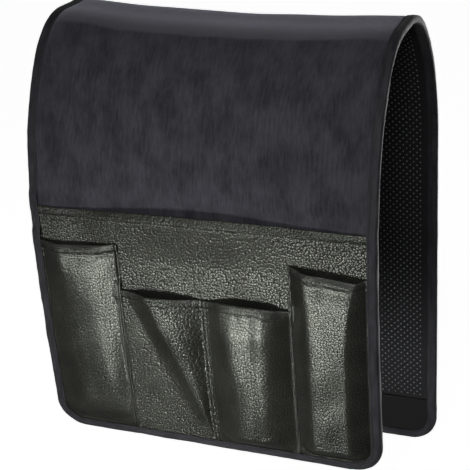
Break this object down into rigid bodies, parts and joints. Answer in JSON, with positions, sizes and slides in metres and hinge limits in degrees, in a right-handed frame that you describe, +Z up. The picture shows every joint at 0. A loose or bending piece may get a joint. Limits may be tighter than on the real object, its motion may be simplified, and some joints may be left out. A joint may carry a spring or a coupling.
{
  "type": "sofa armrest organizer",
  "caption": "Padded cloth mat that hangs over a sofa arm, with faux leather pockets on its short front flap and grip dots on its lining.",
  "frame": {"origin": "middle of the flat strip of lining that rests on top of the sofa's arm", "axes": "+Z up, out of the arm's top; +X along the arm, to the right seen from the pockets; -Y towards the side that the pockets face"},
  "size_m": [0.33, 0.2478, 0.4953],
  "materials": {
    "plush_black": "short plush pile, matt",
    "padding_white": "needled padding, matt",
    "dotted_black": "flat weave with rubber grip dots",
    "band_black": "plain weave, matt",
    "tape_black": "woven binding tape",
    "leather": "pebble grain faux leather, half gloss"
  },
  "bodies": {
    "root": {"outer_cover": "plush_black", "interlining": "padding_white", "dotted_lining": "dotted_black", "rear_hem_band": "band_black", "edge_binding": "tape_black", "wide_pocket_panel": "leather", "left_side_pocket": "leather", "right_side_pocket": "leather", "centre_pocket": "leather"}
  },
  "joints": []
}
